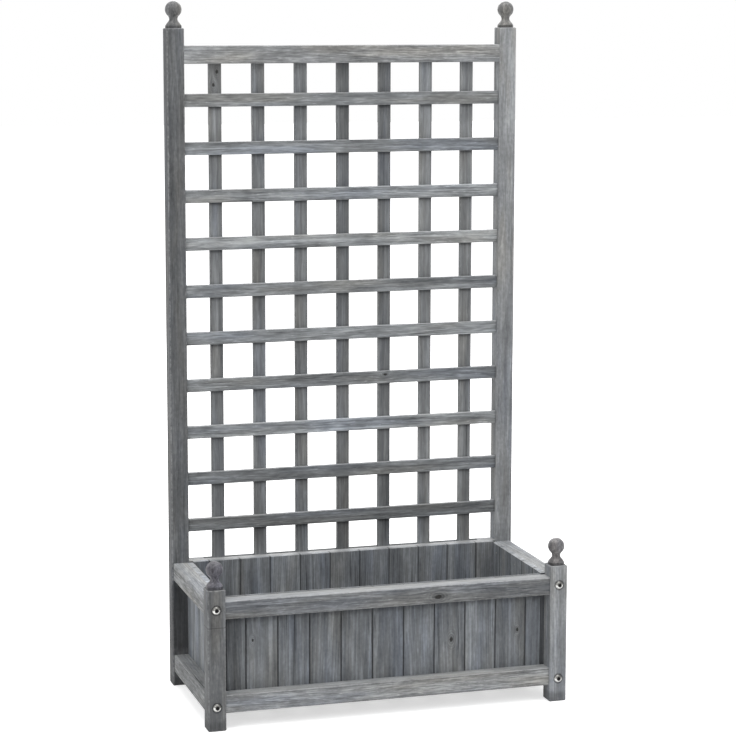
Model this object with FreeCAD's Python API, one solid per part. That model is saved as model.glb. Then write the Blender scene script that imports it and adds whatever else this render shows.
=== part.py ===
import FreeCAD, Part
import math
import os
from FreeCAD import Vector

# Planter box with a tall lattice trellis rising from its back edge.
# Millimetres. X runs along the box, Y from the front to the back, Z up.
# The origin is on the ground, under the middle of the box.

# ---------------------------------------------------------------- overall
width = 640.0                   # over the posts, left to right
depth = 310.0                   # over the posts, front to back
front_post_height = 242.0       # without the finial
rear_post_height = 1165.0       # without the finial

# ---------------------------------------------------------------- posts
post_side = 31.0                # square section
post_edge_chamfer = 1.8         # planed-off long edges
post_end_chamfer = 1.2          # top and foot

# ---------------------------------------------------------------- rails
rail_height = 31.0
rail_thickness = 25.0
rail_edge_chamfer = 1.2
front_rail_margin = 2.0         # inner face of a front or rear rail, from the post's inner face
side_rail_margin = 3.5          # the same for a side rail
lower_rail_base = 29.0          # underside of the front and rear lower rails above the ground
upper_rail_drop = 20.5          # front post top down to the top of the front upper rail
rear_rail_rise = 4.5            # rear upper rail above the front one
trellis_rail_drop = 30.0        # rear post top down to the top of the trellis rail
tenon_length = 10.0             # stub tenons that hold the long rails in the posts
tenon_thickness = 10.0
tenon_shoulder = 4.0            # above and below a tenon
mortise_clearance = 0.1
mortise_end_gap = 0.5

# ---------------------------------------------------------------- lattice
slat_width = 22.6
slat_thickness = 8.0
slat_edge_chamfer = 0.8
cross_slat_count = 10
upright_slat_count = 7
upright_end_gap = 45.9          # between a post and the nearest upright
end_cell_gap = 52.0             # between the outermost cross slats and the rails
wood_behind_groove = 4.5        # rail left behind the uprights' groove
slat_groove_depth = 8.0         # uprights let into the rails
groove_end_gap = 30.0           # the uprights' groove stops short of the posts
slat_housing_depth = 6.0        # cross slats let into the posts
slat_clearance = 0.2            # round a slat in its groove or housing

# ---------------------------------------------------------------- cladding
board_thickness = 10.0
board_base_gap = 2.0            # lower end of the boards above the lower rails' underside
long_panel_board_count = 11
side_panel_board_count = 5
long_panel_first = 34.7         # cut boards at the ends of the front and rear panels
long_panel_last = 28.7
side_panel_end = 40.4           # cut board at each end of a side panel
tongue_thickness = 3.2
tongue_length = 4.0
tongue_clearance = 0.2
shoulder_gap = 0.2              # between neighbouring boards
joint_chamfer = 1.6             # V joint on the outer face

# ---------------------------------------------------------------- floor
batten_side = 20.0
batten_end_gap = 0.3
floor_slat_count = 8
floor_slat_thickness = 10.0
floor_slat_edge_chamfer = 1.2
drain_gap = 7.7                 # between the floor slats
floor_slat_end_gap = 0.3

# ---------------------------------------------------------------- finials
finial_height = 46.5
ball_diameter = 28.8
neck_diameter = 14.4            # at the narrowest place
neck_height = 15.5              # narrowest place above the post
finial_base_diameter = 28.4
finial_rim = 5.0                # straight edge of the base
spigot_diameter = 10.0
spigot_length = 18.0
spigot_clearance = 0.1
spigot_bottom_gap = 1.0
flare_slope = 68.0              # degrees; how steeply the flare leaves the rim

# ---------------------------------------------------------------- bolts
bolt_diameter = 8.0
bolt_length = 75.0              # under the head
bolt_head_diameter = 14.0
bolt_head_height = 4.4
socket_sides = 6
socket_across_flats = 5.0
socket_depth = 2.8
bolt_hole_clearance = 0.3       # in the post
thread_clearance = 0.05         # in the side rail, where the thread bites
bolt_tip_gap = 2.0              # hole past the tip of the bolt
lower_bolt_height = 41.0        # the side rails are centred on their bolts
upper_bolt_drop = 34.0          # front post top down to the upper bolts

# ---------------------------------------------------------------- limits
widest_easing = 0.45            # of a bar's thinnest side, for a chamfered edge
least_length = 1e-6             # anything shorter counts as nothing

# ------------------------------------------------- places worked out from the sizes
half_width = width / 2
half_depth = depth / 2
post_x = half_width - post_side             # inner faces of the posts
post_y = half_depth - post_side
rail_y = post_y + front_rail_margin         # inner faces of the front and rear rails
rail_x = post_x + side_rail_margin          # inner faces of the side rails
board_y = rail_y - board_thickness          # inner faces of the front and rear boards
board_x = rail_x - board_thickness          # inner faces of the side boards

upper_bolt_height = front_post_height - upper_bolt_drop
front_rail_top = front_post_height - upper_rail_drop
rear_rail_top = front_rail_top + rear_rail_rise
side_rail_top = upper_bolt_height + rail_height / 2
front_rail_base = front_rail_top - rail_height
rear_rail_base = rear_rail_top - rail_height
trellis_rail_base = rear_post_height - trellis_rail_drop - rail_height
board_base = lower_rail_base + board_base_gap

upright_back = rail_y + rail_thickness - wood_behind_groove
upright_front = upright_back - slat_thickness
cross_front = upright_front - slat_thickness
upright_pitch = (2 * (post_x - upright_end_gap) - slat_width) / (upright_slat_count - 1)
first_cross_z = trellis_rail_base - end_cell_gap - slat_width / 2
last_cross_z = rear_rail_top + end_cell_gap + slat_width / 2
cross_pitch = (first_cross_z - last_cross_z) / (cross_slat_count - 1)

batten_top = board_base + batten_side
floor_top = batten_top + floor_slat_thickness

bolt_x = rail_x + rail_thickness / 2
bolt_heights = (lower_bolt_height, upper_bolt_height)

cross_slat_heights = [first_cross_z - k * cross_pitch for k in range(cross_slat_count)]
upright_places = [
    (k - (upright_slat_count - 1) / 2) * upright_pitch for k in range(upright_slat_count)
]

X_AXIS = Vector(1, 0, 0)
Y_AXIS = Vector(0, 1, 0)
Z_AXIS = Vector(0, 0, 1)
ORIGIN = Vector(0, 0, 0)


# ---------------------------------------------------------------- helpers
def bar(x_range, y_range, z_range):
    """A square-edged bar between the given low and high coordinates."""
    x0, x1 = sorted(x_range)
    y0, y1 = sorted(y_range)
    z0, z1 = sorted(z_range)
    return Part.makeBox(x1 - x0, y1 - y0, z1 - z0, Vector(x0, y0, z0))


def long_edges(solid, axis, keep):
    """The straight edges along an axis whose middle passes the keep test."""
    found = []
    for edge in solid.Edges:
        start, end = edge.Vertexes[0].Point, edge.Vertexes[-1].Point
        run = end.sub(start)
        if run.cross(axis).Length < least_length and keep(start.add(end).multiply(0.5)):
            found.append(edge)
    return found


def within(size, solid):
    """A chamfer size, kept under half of the bar's thinnest side."""
    box = solid.BoundBox
    return min(size, widest_easing * min(box.XLength, box.YLength, box.ZLength))


def chamfered(solid, axis, size, keep=lambda centre: True):
    """The bar with its chosen long edges chamfered."""
    return solid.makeChamfer(within(size, solid), long_edges(solid, axis, keep))


def bore(mouth, direction, diameter, length):
    """A round hole to be cut, from its mouth along its direction."""
    return Part.makeCylinder(diameter / 2, length, mouth, direction)


def mirrored(solid, normal):
    """The solid mirrored through the origin across one row axis."""
    return solid.mirror(ORIGIN, normal)


def export(node, solids):
    """Write one sub-part, made of one solid or of several alike."""
    shape = solids[0] if len(solids) == 1 else Part.makeCompound(solids)
    for solid in shape.Solids:
        if not solid.isValid():
            raise ValueError(node + " is not a valid solid")
    shape.exportStep("parts/" + node + ".step")
    print("%-22s %2d solid(s) %10.0f mm3" % (node, len(shape.Solids), shape.Volume))


# ---------------------------------------------------------------- posts
def plain_post(height):
    """A left-hand rear post with eased edges, before any hole is cut."""
    post = bar((-half_width, -post_x), (post_y, half_depth), (0, height))
    post = chamfered(post, Z_AXIS, post_edge_chamfer)
    end_edges = [edge for edge in post.Edges if edge.BoundBox.ZLength < least_length]
    return post.makeChamfer(within(post_end_chamfer, post), end_edges)


def bolt_holes_in_post():
    """Bolt holes through a left-hand rear post, from back to front."""
    hole = bolt_diameter + 2 * bolt_hole_clearance
    return [bore(Vector(-bolt_x, half_depth, z), -Y_AXIS, hole, post_side) for z in bolt_heights]


def tenon(rail_base, clearance, end_gap):
    """A left-hand stub tenon of a rear rail, or its mortise with the gaps round it."""
    middle = rail_y + rail_thickness / 2
    half = tenon_thickness / 2 + clearance
    x_range = (-post_x - tenon_length - end_gap, -post_x)
    z_range = (rail_base + tenon_shoulder - clearance,
               rail_base + rail_height - tenon_shoulder + clearance)
    return bar(x_range, (middle - half, middle + half), z_range)


def spigot_hole(height):
    """The hole in the post's top that takes the finial's spigot."""
    x, y = -(half_width + post_x) / 2, (half_depth + post_y) / 2
    diameter = spigot_diameter + 2 * spigot_clearance
    return bore(Vector(x, y, height), -Z_AXIS, diameter, spigot_length + spigot_bottom_gap)


def slat_housings():
    """Shallow mortises in a left-hand rear post for the cross slats' ends."""
    half = slat_width / 2 + slat_clearance
    y_range = (cross_front - slat_clearance, cross_front + slat_thickness + slat_clearance)
    x_range = (-post_x - slat_housing_depth - slat_clearance, -post_x)
    return [bar(x_range, y_range, (z - half, z + half)) for z in cross_slat_heights]


def post(height, rail_bases, extra_cuts):
    """A left-hand rear post, complete."""
    cuts = bolt_holes_in_post() + [spigot_hole(height)] + extra_cuts
    cuts += [tenon(base, mortise_clearance, mortise_end_gap) for base in rail_bases]
    return plain_post(height).cut(cuts)


def make_posts():
    """The four corner posts: short in front, tall behind."""
    short = post(front_post_height, (lower_rail_base, front_rail_base), [])
    tall_rails = (lower_rail_base, rear_rail_base, trellis_rail_base)
    tall = post(rear_post_height, tall_rails, slat_housings())
    front_left = mirrored(short, Y_AXIS)
    export("front_left_post", [front_left])
    export("front_right_post", [mirrored(front_left, X_AXIS)])
    export("rear_left_post", [tall])
    export("rear_right_post", [mirrored(tall, X_AXIS)])


# ---------------------------------------------------------------- rails
def long_rail(rail_base, eased_in_front=False):
    """A rail between the rear posts, with its tenons, eased on the outer side."""
    y_range = (rail_y, rail_y + rail_thickness)
    rail = bar((-post_x, post_x), y_range, (rail_base, rail_base + rail_height))
    middle = rail_y + rail_thickness / 2
    rail = chamfered(rail, X_AXIS, rail_edge_chamfer, lambda c: eased_in_front or c.y > middle)
    left = tenon(rail_base, 0, 0)
    return rail.fuse([left, mirrored(left, X_AXIS)])


def upright_groove(z_range):
    """The groove that holds one end of every upright slat."""
    y_range = (upright_front - slat_clearance, upright_back + slat_clearance)
    reach = post_x - groove_end_gap
    return bar((-reach, reach), y_range, z_range)


def side_rail(bolt_z):
    """A right-hand side rail, bored in both ends for its bolts."""
    z_range = (bolt_z - rail_height / 2, bolt_z + rail_height / 2)
    rail = bar((rail_x, rail_x + rail_thickness), (-post_y, post_y), z_range)
    middle = rail_x + rail_thickness / 2
    rail = chamfered(rail, Y_AXIS, rail_edge_chamfer, lambda c: c.x > middle)
    hole = bolt_diameter + 2 * thread_clearance
    hole_depth = bolt_length - post_side + bolt_tip_gap
    for side in (-1, 1):
        mouth = Vector(bolt_x, side * post_y, bolt_z)
        rail = rail.cut(bore(mouth, Vector(0, -side, 0), hole, hole_depth))
    return rail


def make_rails():
    """Eight rails round the box and the rail across the top of the trellis."""
    lower = long_rail(lower_rail_base)
    export("rear_lower_rail", [lower])
    export("front_lower_rail", [mirrored(lower, Y_AXIS)])
    export("front_upper_rail", [mirrored(long_rail(front_rail_base), Y_AXIS)])
    groove_depth = slat_groove_depth + slat_clearance
    sill_groove = upright_groove((rear_rail_top - groove_depth, rear_rail_top))
    export("rear_upper_rail", [long_rail(rear_rail_base).cut(sill_groove)])
    head_groove = upright_groove((trellis_rail_base, trellis_rail_base + groove_depth))
    export("trellis_top_rail", [long_rail(trellis_rail_base, True).cut(head_groove)])
    for name, bolt_z in zip(("lower", "upper"), bolt_heights):
        right = side_rail(bolt_z)
        export("right_" + name + "_rail", [right])
        export("left_" + name + "_rail", [mirrored(right, X_AXIS)])


# ---------------------------------------------------------------- lattice
def make_lattice():
    """Cross slats housed in the posts, over uprights held in the two rails."""
    reach = post_x + slat_housing_depth
    for number, z in enumerate(cross_slat_heights, 1):
        y_range = (cross_front, cross_front + slat_thickness)
        slat = bar((-reach, reach), y_range, (z - slat_width / 2, z + slat_width / 2))
        export("cross_slat_%02d" % number, [chamfered(slat, X_AXIS, slat_edge_chamfer)])
    z_range = (rear_rail_top - slat_groove_depth, trellis_rail_base + slat_groove_depth)
    for number, x in enumerate(upright_places, 1):
        slat = bar((x - slat_width / 2, x + slat_width / 2), (upright_front, upright_back), z_range)
        export("upright_slat_%d" % number, [chamfered(slat, Z_AXIS, slat_edge_chamfer)])


# ---------------------------------------------------------------- cladding
def board(start, end, top, grooved, tongued):
    """One matched board up to the given top, outer face on Y = 0, thickness along +Y.

    Its left edge is at start, its right edge at end. A grooved left edge takes
    the neighbour's tongue, and a tongued right edge enters the next board.
    """
    middle = board_thickness / 2
    half_tongue = tongue_thickness / 2
    half_groove = half_tongue + tongue_clearance
    tongue_tip = end + tongue_length
    groove_floor = start + tongue_length + tongue_clearance - shoulder_gap
    outline = [(start + joint_chamfer, 0), (end - joint_chamfer, 0), (end, joint_chamfer)]
    if tongued:
        outline += [(end, middle - half_tongue), (tongue_tip, middle - half_tongue)]
        outline += [(tongue_tip, middle + half_tongue), (end, middle + half_tongue)]
    outline += [(end, board_thickness), (start, board_thickness)]
    if grooved:
        outline += [(start, middle + half_groove), (groove_floor, middle + half_groove)]
        outline += [(groove_floor, middle - half_groove), (start, middle - half_groove)]
    outline += [(start, joint_chamfer)]
    points = [Vector(x, y, board_base) for x, y in outline]
    face = Part.Face(Part.makePolygon(points + points[:1]))
    return face.extrude(Vector(0, 0, top - board_base))


def panel(run, count, first_width, last_width, top):
    """The boards of one panel: equal boards in the middle, a cut one at each end."""
    cover = (run - first_width - last_width) / (count - 2)
    joints = [-run / 2 + first_width + k * cover for k in range(count - 1)]
    starts = [-run / 2] + [joint + shoulder_gap / 2 for joint in joints]
    ends = [joint - shoulder_gap / 2 for joint in joints] + [run / 2]
    last = count - 1
    return [board(a, b, top, k > 0, k < last) for k, (a, b) in enumerate(zip(starts, ends))]


def placed(boards, turn, distance):
    """A panel turned about the vertical and set with its outer face out by a distance."""
    turned = []
    for piece in boards:
        piece = piece.copy()
        piece.translate(Vector(0, -distance, 0))
        piece.rotate(ORIGIN, Z_AXIS, turn)
        turned.append(piece)
    return turned


def make_boards():
    """Matched boards on the inner faces of the rails, all round the box."""
    long_sizes = (2 * board_x, long_panel_board_count, long_panel_first, long_panel_last)
    front_panel = panel(*long_sizes, front_rail_top)
    for number, piece in enumerate(placed(front_panel, 0, rail_y), 1):
        export("front_board_%02d" % number, [piece])
    side_sizes = (2 * post_y, side_panel_board_count, side_panel_end, side_panel_end)
    side_panel = panel(*side_sizes, side_rail_top)
    for number, piece in enumerate(placed(side_panel, 90, rail_x), 1):
        export("right_board_%d" % number, [piece])
        export("left_board_%d" % number, [mirrored(piece, X_AXIS)])
    export("rear_boards", placed(panel(*long_sizes, rear_rail_top), 180, rail_y))


# ---------------------------------------------------------------- floor
def make_floor():
    """Two battens along the long panels, and drained slats laid across them."""
    x_range = (-board_x + batten_end_gap, board_x - batten_end_gap)
    batten = bar(x_range, (board_y - batten_side, board_y), (board_base, batten_top))
    export("rear_floor_batten", [batten])
    export("front_floor_batten", [mirrored(batten, Y_AXIS)])
    floor_slat_width = (2 * board_x - drain_gap) / floor_slat_count - drain_gap
    reach = board_y - floor_slat_end_gap
    middle = (batten_top + floor_top) / 2
    slats = []
    for k in range(floor_slat_count):
        left = -board_x + drain_gap + k * (floor_slat_width + drain_gap)
        slat = bar((left, left + floor_slat_width), (-reach, reach), (batten_top, floor_top))
        slats.append(chamfered(slat, Y_AXIS, floor_slat_edge_chamfer, lambda c: c.z > middle))
    export("floor_slats", slats)


# ---------------------------------------------------------------- finials
def line(*points):
    """Straight edges through the given (radius, height) points."""
    corners = [Vector(r, 0, z) for r, z in points]
    return [Part.LineSegment(a, b).toShape() for a, b in zip(corners, corners[1:])]


def arc(start, middle, end):
    """A round edge through three (radius, height) points."""
    places = [Vector(r, 0, z) for r, z in (start, middle, end)]
    return Part.Arc(*places).toShape()


def curve(points, directions):
    """A smooth edge through (radius, height) points, along a direction at each of them."""
    spline = Part.BSplineCurve()
    spline.interpolate(Points=[Vector(r, 0, z) for r, z in points],
                       Tangents=[Vector(r, 0, z) for r, z in directions],
                       TangentFlags=[True] * len(points))
    return spline.toShape()


def turned_solid(edges):
    """The solid swept by a closed half profile about the Z axis."""
    face = Part.Face(Part.Wire(edges))
    return face.revolve(ORIGIN, Z_AXIS, 360)


def finial():
    """A turned ball that runs into a hollow neck and a round base, with a spigot below."""
    ball_radius = ball_diameter / 2
    ball_centre = finial_height - ball_radius
    neck_radius = neck_diameter / 2
    base_radius = finial_base_diameter / 2
    spigot_radius = spigot_diameter / 2
    # the ball ends where a circle that stands out to the neck would touch it
    rise = ball_centre - neck_height
    hollow_radius = (neck_radius ** 2 + rise ** 2 - ball_radius ** 2) / (2 * (ball_radius - neck_radius))
    touch_turn = math.atan2(rise, neck_radius + hollow_radius)
    touch = (ball_radius * math.cos(touch_turn), ball_centre - ball_radius * math.sin(touch_turn))
    ball_turn = (math.pi / 2 - touch_turn) / 2
    ball_side = (ball_radius * math.cos(ball_turn), ball_centre + ball_radius * math.sin(ball_turn))
    flare_turn = math.radians(flare_slope)
    edges = line((0, -spigot_length), (spigot_radius, -spigot_length), (spigot_radius, 0),
                 (base_radius, 0), (base_radius, finial_rim))
    edges.append(curve([(base_radius, finial_rim), (neck_radius, neck_height), touch],
                       [(-math.cos(flare_turn), math.sin(flare_turn)), (0, 1),
                        (math.sin(touch_turn), math.cos(touch_turn))]))
    edges.append(arc(touch, ball_side, (0, finial_height)))
    edges += line((0, finial_height), (0, -spigot_length))
    return turned_solid(edges)


def make_finials():
    """A finial on each post."""
    x, y = (half_width + post_x) / 2, (half_depth + post_y) / 2
    for name, side, height in (("front", -1, front_post_height), ("rear", 1, rear_post_height)):
        pair = []
        for hand in (-1, 1):
            piece = finial()
            piece.translate(Vector(hand * x, side * y, height))
            pair.append(piece)
        export(name + "_finials", pair)


# ---------------------------------------------------------------- fasteners
def bolt():
    """A low-headed socket bolt along Z, its head's underside at the origin."""
    head_radius = bolt_head_diameter / 2
    shank_radius = bolt_diameter / 2
    edges = line((0, -bolt_length), (shank_radius, -bolt_length), (shank_radius, 0), (head_radius, 0),
                 (head_radius, bolt_head_height), (0, bolt_head_height), (0, -bolt_length))
    turn = 2 * math.pi / socket_sides
    corner = socket_across_flats / 2 / math.cos(turn / 2)
    floor = bolt_head_height - socket_depth
    outline = [
        Vector(corner * math.cos(k * turn), corner * math.sin(k * turn), floor)
        for k in range(socket_sides + 1)
    ]
    socket = Part.Face(Part.makePolygon(outline)).extrude(Vector(0, 0, 2 * socket_depth))
    return turned_solid(edges).cut(socket)


def make_bolts():
    """Bolts through the posts, screwed into the ends of the side rails."""
    bolts = []
    for side in (-1, 1):
        for hand in (-1, 1):
            for z in bolt_heights:
                piece = bolt()
                piece.rotate(ORIGIN, X_AXIS, -90 * side)
                piece.translate(Vector(hand * bolt_x, side * half_depth, z))
                bolts.append(piece)
    export("bolts", bolts)


def main():
    """Build every sub-part and write it to its own file."""
    os.makedirs("parts", exist_ok=True)
    make_posts()
    make_rails()
    make_lattice()
    make_boards()
    make_floor()
    make_finials()
    make_bolts()


main()
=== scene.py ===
# Looks of a weathered wooden planter box with a lattice trellis along its back.
# Metres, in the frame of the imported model: X along the box, Y from the front to
# the trellis, Z up, with the origin on the ground under the middle of the box.

import logging
import math
from dataclasses import dataclass, replace
from enum import Enum
from typing import Callable, Sequence, Union

import bmesh
import bpy
from bmesh.types import BMEdge, BMesh, BMVert
from bpy.types import NodeInputs, NodeSocket, NodeTree
from mathutils import Euler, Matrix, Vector

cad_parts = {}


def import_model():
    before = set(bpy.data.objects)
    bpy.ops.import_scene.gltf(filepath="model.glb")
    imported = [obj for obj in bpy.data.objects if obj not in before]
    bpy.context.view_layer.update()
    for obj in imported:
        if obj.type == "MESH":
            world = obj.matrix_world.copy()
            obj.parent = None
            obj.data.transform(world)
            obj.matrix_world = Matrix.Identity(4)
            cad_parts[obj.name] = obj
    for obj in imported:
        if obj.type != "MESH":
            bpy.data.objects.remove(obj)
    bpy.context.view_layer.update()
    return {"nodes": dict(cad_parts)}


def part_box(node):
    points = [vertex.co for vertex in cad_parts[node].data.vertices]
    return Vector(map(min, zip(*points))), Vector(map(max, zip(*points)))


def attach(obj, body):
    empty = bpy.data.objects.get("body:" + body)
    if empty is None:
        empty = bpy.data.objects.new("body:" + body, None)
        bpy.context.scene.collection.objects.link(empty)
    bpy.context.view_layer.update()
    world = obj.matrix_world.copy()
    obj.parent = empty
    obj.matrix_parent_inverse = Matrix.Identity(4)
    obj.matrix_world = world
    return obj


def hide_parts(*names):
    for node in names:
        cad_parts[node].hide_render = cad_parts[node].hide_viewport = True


log = logging.getLogger("planter")

BODY = "root"
FRONT_BOARDS, SIDE_BOARDS, FLOOR_SLATS = 11, 5, 8
CROSS_SLATS, UPRIGHT_SLATS = 10, 7
VECTORS = ("Place", "Moved", "Pith", "Low", "High", "Middle", "Half", "Bolts", "KnotA", "KnotB")
KINDS = dict.fromkeys(VECTORS, "Vector") | dict.fromkeys(("Base", "Colour"), "Color")
KNOT_BROWN = (0.022, 0.021, 0.02)
CHECK_BLACK = (0.02, 0.021, 0.023)
GRIME_AND_SHADE = (0.022, 0.023, 0.025)
Colour = tuple[float, float, float]


# ---------------------------------------------------------------- node wiring
@dataclass(frozen=True)
class Signal:
    """A node's output. Arithmetic with it adds Math nodes to the same tree."""

    wires: "Wiring"
    socket: NodeSocket

    def __add__(self, other: "Value") -> "Signal":
        """The sum."""
        return self.wires.math("ADD", self, other)

    def __sub__(self, other: "Value") -> "Signal":
        """The difference."""
        return self.wires.math("SUBTRACT", self, other)

    def __rsub__(self, other: "Value") -> "Signal":
        """The difference, where a number stands first."""
        return self.wires.math("SUBTRACT", other, self)

    def __mul__(self, other: "Value") -> "Signal":
        """The product."""
        return self.wires.math("MULTIPLY", self, other)

    def __truediv__(self, other: "Value") -> "Signal":
        """The quotient."""
        return self.wires.math("DIVIDE", self, other)

    def __pow__(self, power: float) -> "Signal":
        """The power."""
        return self.wires.math("POWER", self, power)

    def __abs__(self) -> "Signal":
        """The size without its sign."""
        return self.wires.math("ABSOLUTE", self)

    __radd__, __rmul__ = __add__, __mul__


Value = Union[Signal, float, Sequence[float]]


class Wiring:
    """Adds and joins the nodes of one tree in few words."""

    def __init__(self, tree: NodeTree) -> None:
        """Keep the tree that the nodes go into.

        Args:
            tree: A material's or a world's node tree, or a node group.
        """
        self.tree = tree

    def feed(self, socket: NodeSocket, value: Value) -> None:
        """Link a socket to a signal, or give it a constant.

        Args:
            socket: The input to feed.
            value: A signal, a number, or a vector or colour.
        """
        if isinstance(value, Signal):
            self.tree.links.new(value.socket, socket)
        elif isinstance(value, (int, float)):
            socket.default_value = value
        else:
            socket.default_value = (tuple(value) + (1.0,))[:len(socket.default_value)]

    def node(self, kind: str, *values: Value, **settings: object) -> bpy.types.Node:
        """Add a node.

        Args:
            kind: The node's type name.
            values: What its first inputs are fed with, in order.
            settings: Attributes to set on it.

        Returns:
            The new node.
        """
        made = self.tree.nodes.new(kind)
        for name, value in settings.items():
            setattr(made, name, value)
        for socket, value in zip(made.inputs, values):
            self.feed(socket, value)
        return made

    def read(self, kind: str, output: Union[int, str], *values: Value,
             **settings: object) -> Signal:
        """One output of a node that is added as node() does."""
        return Signal(self, self.node(kind, *values, **settings).outputs[output])

    def named(self, sockets: NodeInputs, values: dict[str, Value]) -> None:
        """Feed inputs by their names, in which an underscore stands for a space.

        Args:
            sockets: The inputs of one node.
            values: What each one is fed with.
        """
        for name, value in values.items():
            self.feed(sockets[name.replace("_", " ")], value)

    def math(self, operation: str, *values: Value, clamp: bool = False) -> Signal:
        """The result of one Math node, which clamp keeps between 0 and 1."""
        return self.read("ShaderNodeMath", 0, *values, operation=operation, use_clamp=clamp)

    def vector(self, operation: str, *values: Value) -> Signal:
        """The vector that one Vector Math node gives."""
        return self.read("ShaderNodeVectorMath", 0, *values, operation=operation)

    def split(self, vector: Value) -> tuple[Signal, ...]:
        """The X, Y and Z of a vector."""
        parts = self.node("ShaderNodeSeparateXYZ", vector).outputs
        return tuple(Signal(self, part) for part in parts)

    def joined(self, *values: Value) -> Signal:
        """A vector made of three values."""
        return self.read("ShaderNodeCombineXYZ", 0, *values)

    def total(self, *values: Value) -> Signal:
        """The sum of several values, the first of which is a signal."""
        result = values[0]
        for value in values[1:]:
            result = result + value
        return result

    def length(self, *parts: Signal) -> Signal:
        """The length of a vector that has these parts."""
        return self.math("SQRT", self.total(*(part ** 2.0 for part in parts)))

    def noise(self, place: Value, across: float, along: float, detail: float = 2.0) -> Signal:
        """Noise with long grains along Z, about 0.5 on average.

        Args:
            place: Where it is read, in metres.
            across: Its grains per metre along X and Y.
            along: Its grains per metre along Z.
            detail: How many finer layers it has.

        Returns:
            The noise.
        """
        made = self.node("ShaderNodeTexNoise")
        stretched = self.vector("MULTIPLY", place, (across, across, along))
        self.named(made.inputs, {"Vector": stretched, "Scale": 1.0, "Detail": detail})
        return Signal(self, made.outputs[0])

    def sway(self, place: Value, across: float, along: float, detail: float,
             strength: float) -> Signal:
        """The same noise, moved to be about zero on average, times a strength."""
        return (self.noise(place, across, along, detail) - 0.5) * strength

    def between(self, value: Value, low: float, high: float) -> Signal:
        """A smooth step from 0 at low to 1 at high, where low may also be the higher one.

        Args:
            value: What is tested.
            low: Where the result is 0.
            high: Where the result is 1.

        Returns:
            The step.
        """
        start, end = (0.0, 1.0) if low < high else (1.0, 0.0)
        return self.read("ShaderNodeMapRange", 0, value, min(low, high), max(low, high), start, end,
                         interpolation_type="SMOOTHSTEP")

    def blend(self, share: Value, one: Value, other: Value, kind: str = "MIX") -> Signal:
        """Mix two colours.

        Args:
            share: How much of the other colour goes in.
            one: The first colour.
            other: The second colour.
            kind: How they are mixed.

        Returns:
            The mixed colour.
        """
        made = self.node("ShaderNodeMix", data_type="RGBA", blend_type=kind)
        for index, value in zip((0, 6, 7), (share, one, other)):
            self.feed(made.inputs[index], value)
        return Signal(self, made.outputs[2])

    def scaled(self, colour: Value, factors: Colour) -> Signal:
        """A colour whose red, green and blue are multiplied by the factors."""
        return self.blend(1.0, colour, factors, "MULTIPLY")

    def place(self, group: NodeTree, **values: Value) -> dict[str, Signal]:
        """Put a node group into the tree.

        Args:
            group: The group.
            values: What each of its inputs is fed with.

        Returns:
            Its outputs by name.
        """
        made = self.node("ShaderNodeGroup", node_tree=group)
        self.named(made.inputs, values)
        return {output.name: Signal(self, output) for output in made.outputs}

    def seen(self) -> Signal:
        """1 for the rays that show a surface to the camera, also through glass and in a gloss."""
        rays = self.node("ShaderNodeLightPath").outputs
        camera, glossy, through = (
            Signal(self, rays["Is %s Ray" % name]) for name in ("Camera", "Glossy", "Transmission"))
        return self.math("MAXIMUM", camera, self.math("MAXIMUM", glossy, through))


class Group(Wiring):
    """The wiring of a node group, with its named inputs and outputs."""

    def __init__(self, name: str, inputs: str, outputs: str) -> None:
        """Make the group.

        Args:
            name: Its name.
            inputs: The names of its inputs, with spaces between them.
            outputs: The names of its outputs.
        """
        super().__init__(bpy.data.node_groups.new(name, "ShaderNodeTree"))
        for direction, names in (("INPUT", inputs), ("OUTPUT", outputs)):
            for socket in names.split():
                kind = "NodeSocket" + KINDS.get(socket, "Float")
                self.tree.interface.new_socket(socket, in_out=direction, socket_type=kind)
        self.given = self.node("NodeGroupInput").outputs
        self.result = self.node("NodeGroupOutput").inputs

    def __getitem__(self, name: str) -> Signal:
        """One of the group's inputs."""
        return Signal(self, self.given[name])

    def give(self, **values: Value) -> None:
        """Feed the group's outputs."""
        self.named(self.result, values)

    def filled(self, fill: Callable[["Group"], None]) -> NodeTree:
        """The group's tree, once a function has filled it."""
        fill(self)
        return self.tree


class Skin(Wiring):
    """The wiring of a new material: its shader, and the point in Object coordinates."""

    def __init__(self, name: str) -> None:
        """Make the material.

        Args:
            name: Its name.
        """
        self.material = bpy.data.materials.new(name)
        self.material.use_nodes = True
        super().__init__(self.material.node_tree)
        self.shader = self.tree.nodes["Principled BSDF"]
        self.where = self.read("ShaderNodeTexCoord", "Object")

    def wear(self, **values: Value) -> None:
        """Feed the shader's inputs."""
        self.named(self.shader.inputs, values)

    def bump(self, height: Value, strength: float, distance: float) -> None:
        """Give the shader relief.

        Args:
            height: How high a point stands, from 0 to about 1.
            strength: How much of the relief is used.
            distance: How many metres a height of 1 stands for.
        """
        made = self.node("ShaderNodeBump")
        self.named(made.inputs, {"Strength": strength, "Distance": distance, "Height": height})
        self.wear(Normal=Signal(self, made.outputs[0]))


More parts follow.
